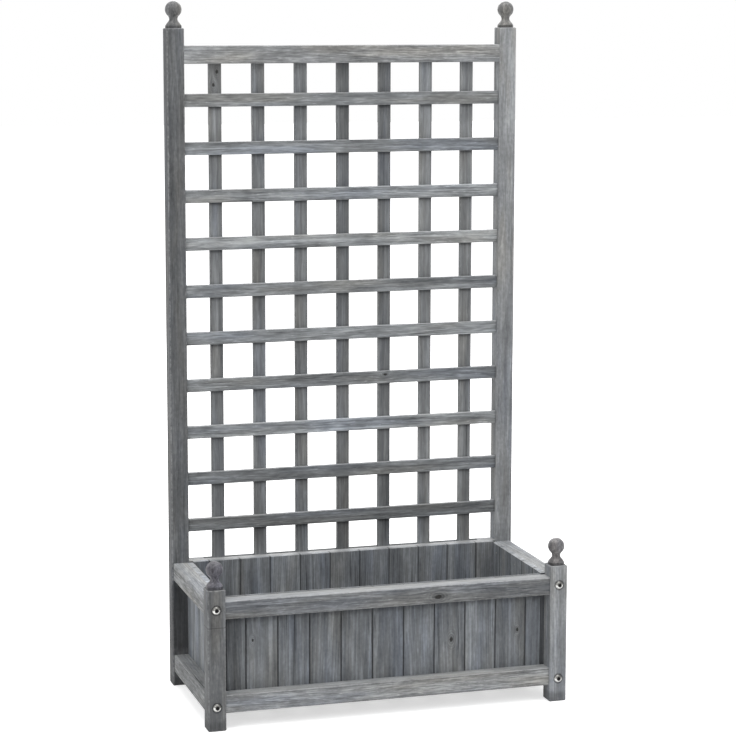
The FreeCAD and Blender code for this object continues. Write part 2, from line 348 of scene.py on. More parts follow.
class Effects:
    """The shader node groups that the finishes share, each built once."""

    def __init__(self) -> None:
        """Build all the groups."""
        self.grain = Group("timber grain", "Place Seed Pith Rings Fine Mottle KnotA KnotB",
                           "Tone Ridge Knot Check Tint").filled(self._grain)
        self.wear = Group("worn arris", "Place Low High Reach", "Worn").filled(self._wear)
        self.weather = Group("weathered surface",
                             "Base Tone Contrast Knot Check Tint Worn Bleach Dirt Dullness",
                             "Colour Roughness").filled(self._weather)
        self.bleach = Group("bleached by the sky", "Place Share", "Bleach").filled(self._bleach)
        self.damp = Group("damp shade", "Place Middle Half Fade", "Damp").filled(self._damp)
        self.relief = Group("timber relief", "Place Ridge Knot Check Worn",
                            "Height").filled(self._relief)
        self.stain = Group("stain round a bolt", "Place Bolts Reach", "Stain").filled(self._stain)
        self.rungs = Group("grime under the rungs", "Place First Pitch Front",
                           "Grime").filled(self._rungs)
        self.pieces = Group("one of a row", "Place Start Pitch",
                            "Moved Chance Joint").filled(self._pieces)

    @staticmethod
    def _grain(g: Group) -> None:
        """Fibres, growth rings, knots and drying checks of a piece whose fibres run along Z.

        A knot is given as its place across, its place along and its radius.

        Args:
            g: The group to fill.
        """
        seed, place = g["Seed"], g["Place"]
        x, y, z = g.split(place)
        bulges, cores, haloes = [], [], []
        pulled = x
        for name in ("KnotA", "KnotB"):
            across, along, radius = g.split(g[name])
            dx, dz = x - across, (z - along) * 0.6
            turns = g.length(dx, dz) / g.math("MAXIMUM", radius, 0.00001)
            bulge = g.math("EXPONENT", (turns / 2.7) ** 2.0 * -1.0)
            pulled = pulled - dx * (bulge * 0.85)
            bulges.append(bulge)
            cores.append(g.between(turns + g.sway(place, 420.0, 300.0, 2.0, 1.1), 1.2, 0.4))
            haloes.append(g.math("SINE", turns * 7.5) * bulge)
        shift = g.joined(seed * 0.731, seed * 0.417, seed * 1.373)
        still = g.vector("ADD", g.joined(pulled, y, z), shift)
        bend = g.sway(still, 9.0, 2.4, 1.0, 0.012)
        moved = g.vector("ADD", still, g.joined(bend, bend, 0.0))

        pith_x, pith_y, lean = g.split(g["Pith"])
        distance = g.length((pulled + bend) - (pith_x + z * lean), (y + bend) - pith_y)
        count = g.total(distance / g["Rings"], g.sway(moved, 60.0, 1.8, 1.0, 1.5),
                        g.total(*bulges) * 1.0)
        saw = g.math("FRACT", count)
        ring = saw ** 2.2 * g.between(saw, 1.0, 0.9)

        fibre = g.noise(moved, 1150.0, 26.0, 3.0)
        dash = g.noise(moved, 380.0, 46.0)
        vein = g.between(abs(g.noise(moved, 190.0, 3.6) - 0.5), 0.03, 0.0)
        spark = g.between(g.noise(moved, 620.0, 75.0), 0.63, 0.72)
        fine = g.total((fibre - 0.5) * 1.0, (dash - 0.5) * 1.0, spark * 0.34, vein * -0.2)
        tone = g.total(
            g.sway(moved, 230.0, 5.5, 2.0, 0.55), g.sway(moved, 80.0, 1.5, 1.0, 0.75),
            g.sway(moved, 50.0, 16.0, 4.0, 0.75), (ring - 0.25) * 0.2, 0.5, fine * g["Fine"],
            (g.noise(still, 210.0, 150.0, 3.0) - 0.5) * g["Mottle"],
            g.total(*haloes) * 0.15, g.total(*bulges) * -0.12)
        checks = (g.between(g.noise(moved, 380.0, 3.2, 1.0), 0.69, 0.75)
                  * g.between(g.noise(still, 14.0, 5.0, 1.0), 0.5, 0.62))
        g.give(Tone=tone, Ridge=g.total(ring * 0.4, fibre * 0.45, dash * 0.3, vein * -0.3),
               Knot=g.math("MAXIMUM", *cores), Check=checks, Tint=g.noise(still, 34.0, 4.5))

    @staticmethod
    def _wear(g: Group) -> None:
        """How worn a point is by how near it lies to an arris of its bar.

        Args:
            g: The group to fill.
        """
        place = g["Place"]
        inside = g.vector("MINIMUM", g.vector("SUBTRACT", place, g["Low"]),
                          g.vector("SUBTRACT", g["High"], place))
        a, b, c = g.split(inside)
        second = g.math("MAXIMUM", g.math("MINIMUM", a, b),
                        g.math("MINIMUM", g.math("MAXIMUM", a, b), c))
        share = second / g["Reach"] + g.sway(place, 190.0, 190.0, 4.0, 2.4)
        g.give(Worn=g.between(share, 0.95, 0.15))

    @staticmethod
    def _weather(g: Group) -> None:
        """The colour and roughness of bare timber that has gone grey out of doors, with painted
        light on faces that look up, and dirt and painted shade where its dark input asks.

        Args:
            g: The group to fill.
        """
        base, worn, check, tint = g["Base"], g["Worn"], g["Check"], g["Tint"]
        tone = (g["Tone"] - 0.5) * g["Contrast"]
        dark = g.math("MULTIPLY", tone, -2.0, clamp=True)
        light = g.math("MULTIPLY", tone, 2.0, clamp=True)
        colour = g.blend(dark, base, g.scaled(base, (0.34, 0.345, 0.355)))
        colour = g.blend(light, colour, g.scaled(base, (2.1, 2.1, 2.1)))
        for end, factors in ((0.72, (0.955, 0.985, 1.055)), (0.3, (1.045, 1.01, 0.955))):
            colour = g.blend(g.between(tint, 0.5, end), colour, g.scaled(colour, factors))
        colour = g.blend(worn * 0.45, colour, (0.33, 0.335, 0.34))
        # Paler where it looks up: sun bleaching, and painted light on top faces.
        pale = g.blend(0.6, g.scaled(colour, (2.4, 2.4, 2.4)), (0.46, 0.465, 0.47))
        colour = g.blend(g["Bleach"], colour, pale)
        colour = g.blend(g["Knot"] * 0.95, colour, KNOT_BROWN)
        colour = g.blend(check * 0.75, colour, CHECK_BLACK)
        # Darker where there is dirt and where shade is painted.
        colour = g.blend(g["Dirt"], colour, GRIME_AND_SHADE)
        rough = g.total(g["Dullness"], tone * -0.25, worn * -0.08, check * 0.2)
        g.give(Colour=colour, Roughness=g.math("MINIMUM", g.math("MAXIMUM", rough, 0.3), 0.95))

    @staticmethod
    def _bleach(g: Group) -> None:
        """How much paler a face is painted by how much it looks up: sun bleaching, and painted
        light from the sky.

        Args:
            g: The group to fill.
        """
        _, _, up = g.split(g.read("ShaderNodeNewGeometry", "Normal"))
        ragged = g.sway(g["Place"], 170.0, 170.0, 3.0, 1.1)
        g.give(Bleach=g.between(up + ragged * 0.35, 0.35, 0.95) * g["Share"])

    @staticmethod
    def _damp(g: Group) -> None:
        """A ragged mask that is 1 inside a box and fades away outside it.

        Args:
            g: The group to fill.
        """
        off = g.vector("ABSOLUTE", g.vector("SUBTRACT", g["Place"], g["Middle"]))
        past = g.vector("MAXIMUM", g.vector("SUBTRACT", off, g["Half"]), (0.0, 0.0, 0.0))
        ragged = g.sway(g["Place"], 120.0, 50.0, 3.0, 1.0)
        g.give(Damp=g.between(g.length(*g.split(past)) / g["Fade"] + ragged, 1.0, 0.1))

    @staticmethod
    def _relief(g: Group) -> None:
        """The height of raised grain, sunk checks and small dents, from 0 to about 1.

        Args:
            g: The group to fill.
        """
        place = g["Place"]
        g.give(Height=g.total(
            g["Ridge"], g.sway(place, 95.0, 60.0, 3.0, 0.5),
            g.sway(place, 2600.0, 420.0, 1.0, 0.25), g["Check"] * -1.2, g["Knot"] * 0.2,
            g["Worn"] * -0.15))

    @staticmethod
    def _stain(g: Group) -> None:
        """A dark ring round two bolts, given as their X and their two heights.

        Args:
            g: The group to fill.
        """
        x, _, z = g.split(g["Place"])
        bolt_x, *heights = g.split(g["Bolts"])
        rings = [g.length(x - bolt_x, z - height) for height in heights]
        nearest = g.math("MINIMUM", *rings) / g["Reach"]
        g.give(Stain=g.between(nearest + g.sway(g["Place"], 260.0, 260.0, 2.0, 0.35), 1.05, 0.72))

    @staticmethod
    def _rungs(g: Group) -> None:
        """Painted shadow on an upright just under each slat that crosses its front.

        Args:
            g: The group to fill.
        """
        _, y, z = g.split(g["Place"])
        below = (1.0 - g.math("FRACT", (z - g["First"]) / g["Pitch"])) * g["Pitch"]
        near = g.between(below + g.sway(g["Place"], 300.0, 90.0, 2.0, 0.003), 0.0075, 0.001)
        g.give(Grime=near * g.between(y - g["Front"], 0.0015, 0.0002))

    @staticmethod
    def _pieces(g: Group) -> None:
        """Tells apart the equal pieces of a row along X, which share one node.

        Args:
            g: The group to fill.
        """
        x, _, _ = g.split(g["Place"])
        step = (x - g["Start"]) / g["Pitch"]
        number = g.math("FLOOR", step)
        chance = g.node("ShaderNodeTexWhiteNoise", noise_dimensions="1D")
        g.feed(chance.inputs["W"], number + 0.5)
        edge = g.math("FRACT", step)
        g.give(Moved=g.vector("ADD", g["Place"], g.joined(0.0, 0.0, number * 3.71)),
               Chance=Signal(g, chance.outputs["Value"]),
               Joint=g.math("MINIMUM", edge, 1.0 - edge) * g["Pitch"])


# ---------------------------------------------------------------- finishes
class Grain(Enum):
    """Which way the fibres run: the turn, in degrees, that stands them upright."""

    UPRIGHT = (0, 0, 0)
    UPRIGHT_SIDE = (0, 0, -90)
    LONG = (0, 90, 0)
    SIDE = (90, 0, 90)
    FLAT = (90, 0, 0)

    def turn(self) -> Euler:
        """The turn as Euler angles."""
        return Euler([math.radians(angle) for angle in self.value])


@dataclass(frozen=True)
class Row:
    """Equal pieces that share one node, along X: where the first starts, and their pitch."""

    start: float
    pitch: float


@dataclass(frozen=True)
class Rungs:
    """Slats across an upright: the lowest's underside, their pitch and the face they lie on."""

    first: float
    pitch: float
    front: float


@dataclass(frozen=True)
class Damp:
    """A dark patch on a piece, mostly painted shade and at times a real mark: its box, its fade and
    how dark it gets.
    """

    low: Colour
    high: Colour
    fade: float = 0.012
    strength: float = 0.5


@dataclass(frozen=True)
class Stick:
    """One piece of timber: its name, its box, how its fibres run and what sets it apart.

    The seed sets its figure apart, and tone and tint its colour beside its finish's own. Each
    of up to two knots is metres across and along from its middle, and a radius. Bolts are the
    X and the two heights of those through it.
    """

    name: str
    low: Vector
    high: Vector
    seed: float
    grain: Grain = Grain.UPRIGHT
    tone: float = 1.0
    tint: Colour = (1.0, 1.0, 1.0)
    knots: tuple[Colour, ...] = ()
    row: Row | None = None
    bolts: Colour | None = None
    damp: Sequence[Damp] = ()
    rungs: Rungs | None = None

    def pith(self) -> Colour:
        """Where the middle of the log lay beside the piece, and how far it leaned."""
        turn = self.seed * 2.399
        reach = 0.035 + 0.03 * math.sin(self.seed * 1.7)
        return (reach * math.cos(turn), 0.012 + abs(reach * math.sin(turn)),
                0.05 * math.sin(self.seed * 3.3))


@dataclass(frozen=True)
class WeatheredTimber:
    """Bare softwood that has gone grey: its colour and how lively its grain is."""

    base: Colour = (0.224, 0.232, 0.24)
    contrast: float = 1.0
    ring_pitch: float = 0.0042
    relief: float = 0.0006
    wear_reach: float = 0.0024
    joint_dirt: float = 0.0
    bleached_and_lit: float = 0.8
    fine: float = 0.6
    mottle: float = 0.0
    dullness: float = 0.68
    bolt_ring_reach: float = 0.0098
    bolt_ring_darkness: float = 0.75
    rung_shadow: float = 0.6
    joint_reach: tuple[float, float] = (0.0021, 0.0004)
    row_spread: float = 0.55
    bump_strength: float = 0.8

    def material(self, effects: Effects, stick: Stick) -> bpy.types.Material:
        """Make the timber of one piece.

        Args:
            effects: The shared node groups.
            stick: The piece.

        Returns:
            The new material.
        """
        skin = Skin(stick.name + "_timber")
        base = tuple(value * stick.tone * share for value, share in zip(self.base, stick.tint))
        read, joint, tinted = skin.where, None, base
        if stick.row:
            row = skin.place(effects.pieces, Place=skin.where, Start=stick.row.start,
                             Pitch=stick.row.pitch)
            read, joint = row["Moved"], row["Joint"]
            tinted = skin.blend(row["Chance"] * self.row_spread, base,
                                tuple(self.row_spread * value for value in base))
        middle = (stick.low + stick.high) / 2
        middle.rotate(stick.grain.turn())
        laid = skin.read("ShaderNodeMapping", 0, read, -middle, stick.grain.turn())
        knots = (stick.knots + ((0.0, 0.0, 0.0),) * 2)[:2]
        figure = skin.place(effects.grain, Place=laid, Seed=stick.seed, Pith=stick.pith(),
                            Fine=self.fine, Mottle=self.mottle, Rings=self.ring_pitch,
                            KnotA=knots[0], KnotB=knots[1])
        shared = {name: figure[name] for name in ("Knot", "Check")}
        shared |= skin.place(effects.wear, Place=skin.where, Low=stick.low, High=stick.high,
                             Reach=self.wear_reach)
        # Paler where a face looks up: sun bleaching, and painted light.
        bleach = skin.place(effects.bleach, Place=laid, Share=self.bleached_and_lit)
        dirt_and_shade = self._dirt_and_shade(skin, effects, stick, joint)
        looks = skin.place(effects.weather, Base=tinted, Contrast=self.contrast, Dirt=dirt_and_shade,
                           Tone=figure["Tone"], Tint=figure["Tint"], Dullness=self.dullness,
                           **bleach, **shared)
        relief = skin.place(effects.relief, Place=laid, Ridge=figure["Ridge"], **shared)
        skin.bump(relief["Height"], self.bump_strength, self.relief)
        skin.wear(Base_Color=looks["Colour"], Roughness=looks["Roughness"], IOR=1.45,
                  Specular_IOR_Level=0.3)
        return skin.material

    def _dirt_and_shade(self, skin: Skin, effects: Effects, stick: Stick, joint: Signal | None) -> Value:
        """How dark a point is painted: a ring round bolts, dirt in joints, dark patches that are
        mostly painted shade, and painted shadow under slats.

        Args:
            skin: The material's wiring.
            effects: The shared node groups.
            stick: The piece.
            joint: How far a point is from the next piece of its row, where it is in one.

        Returns:
            The darkening, dirt and painted shade together, from 0 to 1.
        """
        dirt_and_shade: Value = 0.0
        if stick.bolts:
            ring = skin.place(effects.stain, Place=skin.where, Bolts=stick.bolts,
                              Reach=self.bolt_ring_reach)
            dirt_and_shade = ring["Stain"] * self.bolt_ring_darkness
        elif self.joint_dirt:
            if joint is None:
                axis = 1 if stick.grain is Grain.UPRIGHT_SIDE else 0
                across = skin.split(skin.where)[axis]
                joint = skin.math("MINIMUM", across - stick.low[axis], stick.high[axis] - across)
            dirt_and_shade = skin.between(joint, *self.joint_reach) * self.joint_dirt
        # Dark patches: mostly painted shade, a few real marks.
        for part in stick.damp:
            low, high = Vector(part.low), Vector(part.high)
            mask = skin.place(effects.damp, Place=skin.where, Middle=(low + high) / 2,
                              Half=(high - low) / 2, Fade=part.fade)
            dirt_and_shade = skin.math("MAXIMUM", dirt_and_shade, mask["Damp"] * part.strength)
        # Painted shadow on an upright under each slat that crosses it.
        if stick.rungs:
            under = skin.place(effects.rungs, Place=skin.where, First=stick.rungs.first,
                               Pitch=stick.rungs.pitch, Front=stick.rungs.front)
            dirt_and_shade = skin.math("MAXIMUM", dirt_and_shade, under["Grime"] * self.rung_shadow)
        return dirt_and_shade


@dataclass(frozen=True)
class ZincSteel:
    """Bright zinc-plated steel, lightly brushed and spotted."""

    base: Colour = (0.7, 0.7, 0.68)
    roughness: float = 0.3
    spots: float = 0.35

    def material(self, name: str, effects: Effects, bolts: Colour | None = None,
                 mouth: float = 0.0, crown: float = 0.0) -> bpy.types.Material:
        """Make the steel.

        Args:
            name: The material's name.
            effects: The shared node groups.
            bolts: For bolts, how far their axes are from the middle, and their two heights.
            mouth: The radius inside which a bolt's socket lies.
            crown: How far from the middle, front or back, the top of a bolt's head is.

        Returns:
            The new material.
        """
        skin = Skin(name)
        cloud = skin.noise(skin.where, 420.0, 420.0, 4.0)
        brushed = skin.noise(skin.where, 3200.0, 260.0)
        spots = skin.between(cloud, 0.56, 0.7) * self.spots
        colour = skin.blend(spots, self.base, (0.3, 0.27, 0.22))
        rough = skin.total((brushed - 0.5) * 0.2 + self.roughness, spots * 0.5)
        metal: Value = 1.0
        if bolts:
            x, y, z = skin.split(skin.where)
            near = skin.place(effects.stain, Place=skin.joined(abs(x), y, z), Bolts=bolts,
                              Reach=mouth * 1.6)
            # Painted shade in the bolt's hex socket, dark and not metal.
            socket_shade = near["Stain"] * skin.between(abs(y), crown - 0.0003, crown - 0.0007)
            _, low, high = bolts
            # Painted shade on the upper half of each bolt head.
            upper = skin.math("GREATER_THAN", z, (low + high) / 2)
            above = (z - low) - upper * (high - low)
            upper_shade = skin.between(above + (cloud - 0.5) * 0.01, -0.002, 0.0028)
            colour = skin.blend(upper_shade * 0.88, colour, (0.09, 0.088, 0.082))
            colour = skin.blend(socket_shade, colour, (0.012, 0.012, 0.013))
            rough = rough + socket_shade * 0.5
            metal = 1.0 - socket_shade
        skin.wear(Base_Color=colour, Roughness=rough, Metallic=metal)
        skin.bump(brushed, 0.4, 0.0001)
        return skin.material


# ---------------------------------------------------------------- shaping
def put_in_order(mesh: BMesh) -> None:
    """Number a shape's parts by where they are, which is the same in each run.

    Args:
        mesh: The shape.
    """
    for parts, middle in ((mesh.verts, lambda vert: vert.co),
                          (mesh.edges, lambda edge: edge.verts[0].co + edge.verts[1].co),
                          (mesh.faces, lambda face: face.calc_center_median())):
        places = [(tuple(round(value, 6) for value in middle(part)), part) for part in parts]
        for rank, (_, part) in enumerate(sorted(places, key=lambda pair: pair[0])):
            part.index = rank
        parts.sort()


def finish_piece(mesh: BMesh, name: str, finish: bpy.types.Material,
                 sharp: float = 32.0) -> bpy.types.Object:
    """Turn a bmesh into a finished piece that rides with the planter.

    Args:
        mesh: The shape, in place, which is freed.
        name: The piece's name.
        finish: Its material.
        sharp: Edges that turn by more than these degrees stay crisp.

    Returns:
        The new object.
    """
    bmesh.ops.remove_doubles(mesh, verts=mesh.verts, dist=1e-6)
    bmesh.ops.recalc_face_normals(mesh, faces=mesh.faces)
    put_in_order(mesh)
    data = bpy.data.meshes.new(name)
    mesh.to_mesh(data)
    mesh.free()
    data.shade_smooth()
    data.set_sharp_from_angle(angle=math.radians(sharp))
    piece = bpy.data.objects.new(name, data)
    bpy.context.scene.collection.objects.link(piece)
    data.materials.append(finish)
    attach(piece, BODY)
    log.info("%s: %d faces", name, len(data.polygons))
    return piece


def turned(mesh: BMesh, profile: Sequence[tuple[float, float]],
           steps: int) -> list[BMVert]:
    """Spin a profile of radii and heights once round the Z axis.

    Args:
        mesh: The bmesh that it goes into.
        profile: The (radius, height) points.
        steps: How many steps the turn has.

    Returns:
        The new vertices.
    """
    before = set(mesh.verts)
    line = [mesh.verts.new((radius, 0.0, height)) for radius, height in profile]
    edges = [mesh.edges.new(pair) for pair in zip(line, line[1:])]
    bmesh.ops.spin(mesh, geom=line + edges, cent=(0, 0, 0), axis=(0, 0, 1), angle=2 * math.pi,
                   steps=steps, use_merge=True)
    bmesh.ops.remove_doubles(mesh, verts=[v for v in mesh.verts if v not in before], dist=1e-7)
    return [v for v in mesh.verts if v not in before]


# ---------------------------------------------------------------- the planter's own parts
@dataclass
class Finials:
    """Turned ball finials, one on each post, which stand in for the plain ones."""

    height: float = 0.0465
    ball_radius: float = 0.0144
    neck_radius: float = 0.0072
    neck_height: float = 0.0155
    base_radius: float = 0.0142
    base_easing: float = 0.0005
    rim: float = 0.005
    rim_easing: float = 0.0007
    flare_slope: float = 68.0
    spigot_radius: float = 0.005
    spigot_length: float = 0.018
    spigot_easing: float = 0.0008
    rim_shade_margin: float = 0.02
    steps: int = 56
    rows: int = 14

    def profile(self) -> list[tuple[float, float]]:
        """The half outline from the spigot's foot to the ball's top.

        Returns:
            The (radius, height) points.
        """
        centre = self.height - self.ball_radius
        rise = centre - self.neck_height
        hollow = (self.neck_radius ** 2 + rise ** 2 - self.ball_radius ** 2) / (
            2 * (self.ball_radius - self.neck_radius))
        touch = math.atan2(rise, self.neck_radius + hollow)
        foot, ease = -self.spigot_length, self.base_easing
        line = [(0.0, foot), (self.spigot_radius - self.spigot_easing, foot),
                (self.spigot_radius, foot + self.spigot_easing), (self.spigot_radius, 0.0),
                (self.base_radius - ease, 0.0), (self.base_radius, ease),
                (self.base_radius, self.rim - self.rim_easing),
                (self.base_radius - self.rim_easing * 0.3, self.rim)]
        line += self._flare()
        for k in range(1, self.rows):
            turn = touch * k / self.rows
            line.append((self.neck_radius + hollow - hollow * math.cos(turn),
                         self.neck_height + hollow * math.sin(turn)))
        for k in range(self.rows * 2):
            angle = -touch + (math.pi / 2 + touch) * k / (self.rows * 2)
            line.append((self.ball_radius * math.cos(angle),
                         centre + self.ball_radius * math.sin(angle)))
        return line + [(0.0, self.height)]

    def _flare(self) -> list[tuple[float, float]]:
        """The bell between the rim and the neck.

        Returns:
            Its (radius, height) points, from the rim up to the neck.
        """
        slope = math.radians(self.flare_slope)
        start = Vector((self.base_radius - self.rim_easing, self.rim + self.rim_easing * 0.3))
        end = Vector((self.neck_radius, self.neck_height))
        pull = (end - start).length / 3
        poles = (start, start + pull * Vector((-math.cos(slope), math.sin(slope))),
                 end - pull * Vector((0.0, 1.0)), end)
        line = []
        for k in range(self.rows + 1):
            t = k / self.rows
            weights = ((1 - t) ** 3, 3 * t * (1 - t) ** 2, 3 * t * t * (1 - t), t ** 3)
            point = sum((weight * pole for weight, pole in zip(weights, poles)), Vector((0.0, 0.0)))
            line.append((point.x, point.y))
        return line

    def build(self, effects: Effects) -> None:
        """Turn the four finials and set each on its post.

        Args:
            effects: The shared node groups.
        """
        timber = WeatheredTimber(base=(0.213, 0.214, 0.213), contrast=0.9, ring_pitch=0.0030,
                                 fine=0.5, relief=0.0004, wear_reach=0.0012, bleached_and_lit=0.2,
                                 mottle=1.3, dullness=0.38)
        tones = {"front_left": 0.52, "front_right": 0.66, "rear_left": 0.64, "rear_right": 0.66}
        tints = {"front_left": (1.0, 0.96, 1.1), "front_right": (1.0, 0.98, 1.04)}
        corner = Vector((self.base_radius, self.base_radius, 0.0))
        margin = self.rim_shade_margin
        for pair in ("front_finials", "rear_finials"):
            low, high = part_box(pair)
            y = (low.y + high.y) / 2
            base = high.z - self.height
            xs = {"left": low.x + self.ball_radius, "right": high.x - self.ball_radius}
            for side, x in xs.items():
                name = pair.split("_")[0] + "_" + side
                mesh = bmesh.new()
                verts = turned(mesh, self.profile(), self.steps)
                bmesh.ops.translate(mesh, verts=verts, vec=(x, y, base))
                # Painted shade round the foot of the finial's rim, where it sits on the post.
                rim = Damp((x - margin, y - margin, base - margin),
                           (x + margin, y + margin, base + self.rim * 0.7),
                           fade=0.0022, strength=0.6)
                wood = timber.material(effects, Stick(
                    name + "_finial", Vector((x, y, base)) - corner,
                    Vector((x, y, base + self.height)) + corner,
                    41.0 + 3.1 * len(name) + 7.7 * x, tone=tones[name],
                    tint=tints.get(name, (1.0, 1.0, 1.0)), damp=[rim]))
                piece = finish_piece(mesh, name + "_finial", wood, 40.0)
                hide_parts(pair)


@dataclass
class Bolts:
    """Domed socket-head bolts through the posts, which stand in for the plain ones."""

    head_radius: float = 0.007
    head_height: float = 0.0044
    head_easing: float = 0.0002
    shank_radius: float = 0.004
    shank_easing: float = 0.0008
    length: float = 0.075
    rim: float = 0.0005
    socket_flats: float = 0.005
    socket_depth: float = 0.0028
    mouth_easing: float = 0.0003
    steps: int = 48
    rows: int = 9

    def head(self, mesh: BMesh) -> None:
        """Shape one bolt along Z, the underside of its head at the origin.

        Args:
            mesh: The empty bmesh that it goes into.
        """
        crown = self.head_height - self.rim
        dome = (self.head_radius ** 2 + crown ** 2) / (2 * crown)
        mouth = self.socket_flats / math.sqrt(3) + self.mouth_easing
        low, high = math.asin(mouth / dome), math.asin(self.head_radius / dome)
        line = [(0.0, -self.length), (self.shank_radius - self.shank_easing, -self.length),
                (self.shank_radius, -self.length + self.shank_easing), (self.shank_radius, 0.0),
                (self.head_radius - self.head_easing, 0.0), (self.head_radius, self.head_easing)]
        for k in range(self.rows + 1):
            angle = high + (low - high) * k / self.rows
            line.append((dome * math.sin(angle), self.head_height - dome * (1 - math.cos(angle))))
        turned(mesh, line, self.steps)
        top = max(v.co.z for v in mesh.verts)
        ring = [e for e in mesh.edges
                if e.is_boundary and all(v.co.z > top - 1e-6 for v in e.verts)]
        for drop in (-self.mouth_easing, -self.socket_depth):
            ring = self._step(mesh, ring, drop)
        bmesh.ops.contextual_create(mesh, geom=ring)

    def _step(self, mesh: BMesh, ring: list[BMEdge],
              drop: float) -> list[BMEdge]:
        """Extrude a ring of edges onto the socket's hexagon, and down.

        Args:
            mesh: The bolt's bmesh.
            ring: The boundary edges.
            drop: How far down the new ring goes.

        Returns:
            The new ring's edges.
        """
        made = bmesh.ops.extrude_edge_only(mesh, edges=ring)["geom"]
        for vert in (g for g in made if isinstance(g, BMVert)):
            angle = math.atan2(vert.co.y, vert.co.x)
            wedge = (angle + math.pi / 6) % (math.pi / 3) - math.pi / 6
            reach = self.socket_flats / 2 / math.cos(wedge)
            vert.co = (reach * math.cos(angle), reach * math.sin(angle), vert.co.z + drop)
        return [g for g in made if isinstance(g, BMEdge) and g.is_boundary]

    def build(self, effects: Effects) -> None:
        """Make the eight bolts as one piece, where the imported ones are.

        Args:
            effects: The shared node groups.
        """
        low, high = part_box("bolts")
        xs = (low.x + self.head_radius, high.x - self.head_radius)
        zs = (low.z + self.head_radius, high.z - self.head_radius)
        front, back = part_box("front_left_post")[0].y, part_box("rear_left_post")[1].y
        steel = ZincSteel().material("bolt_zinc", effects, bolts=(xs[1], *zs),
                                     mouth=self.socket_flats / 2, crown=back + self.head_height)
        mesh = bmesh.new()
        places = [(side, y, column, row) for side, y in ((1, front), (-1, back))
                  for column in (0, 1) for row in (0, 1)]
        for side, y, column, row in places:
            one = bmesh.new()
            self.head(one)
            turn = 0.35 + 0.9 * column + 0.55 * row + (0.3 if side < 0 else 0.0)
            for angles in ((0, 0, turn), (side * math.pi / 2, 0, 0)):
                bmesh.ops.rotate(one, verts=one.verts, matrix=Euler(angles).to_matrix())
            bmesh.ops.translate(one, verts=one.verts, vec=(xs[column], y, zs[row]))
            data = bpy.data.meshes.new("bolt_part")
            one.to_mesh(data)
            one.free()
            mesh.from_mesh(data)
            bpy.data.meshes.remove(data)
        piece = finish_piece(mesh, "post_bolts", steel, 28.0)
        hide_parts("bolts")


@dataclass
class Staples:
    """Wire staples behind the lattice, one where each upright crosses a cross slat."""

    wire: float = 0.0011
    crown: float = 0.009
    proud: float = 0.0007

    def build(self, effects: Effects) -> None:
        """Drive a staple into the back of every crossing.

        Args:
            effects: The shared node groups.
        """
        steel = ZincSteel(base=(0.5, 0.49, 0.47), roughness=0.4, spots=0.7)
        mesh = bmesh.new()
        for column in range(1, UPRIGHT_SLATS + 1):
            up_low, up_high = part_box("upright_slat_%d" % column)
            for row in range(1, CROSS_SLATS + 1):
                cross_low, cross_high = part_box("cross_slat_%02d" % row)
                x = (up_low.x + up_high.x) / 2 + 0.002 * math.sin(5.1 * column + 2.3 * row)
                z = (cross_low.z + cross_high.z) / 2 + 0.003 * math.sin(3.7 * column + 4.9 * row)
                lean = math.radians(35.0 + 12.0 * math.sin(1.9 * column + 7.3 * row))
                self._staple(mesh, Vector((x, up_high.y, z)), lean)
        finish_piece(mesh, "lattice_staples", steel.material("staple_zinc", effects))

    def _staple(self, mesh: BMesh, where: Vector, lean: float) -> None:
        """One staple, its crown just proud of the timber.

        Args:
            mesh: The bmesh that it goes into.
            where: The middle of its crown on the timber's face.
            lean: How far the crown is turned in that face.
        """
        made = bmesh.ops.create_cube(mesh, size=1.0)["verts"]
        depth = self.proud + self.wire
        bmesh.ops.scale(mesh, verts=made, vec=(self.crown, depth, self.wire))
        edges = [e for e in {e for v in made for e in v.link_edges}
                 if abs((e.verts[0].co - e.verts[1].co).x) > self.crown / 2 and e.verts[0].co.y > 0]
        grown = bmesh.ops.bevel(mesh, geom=edges, offset=self.wire * 0.35, offset_type="OFFSET",
                                segments=2, profile=0.5, affect="EDGES", material=-1)
        verts = list({v for v in made + grown["verts"] if v.is_valid})
        bmesh.ops.rotate(mesh, verts=verts, matrix=Euler((0, lean, 0)).to_matrix())
        bmesh.ops.translate(mesh, verts=verts, vec=where + Vector((0, self.proud - depth / 2, 0)))


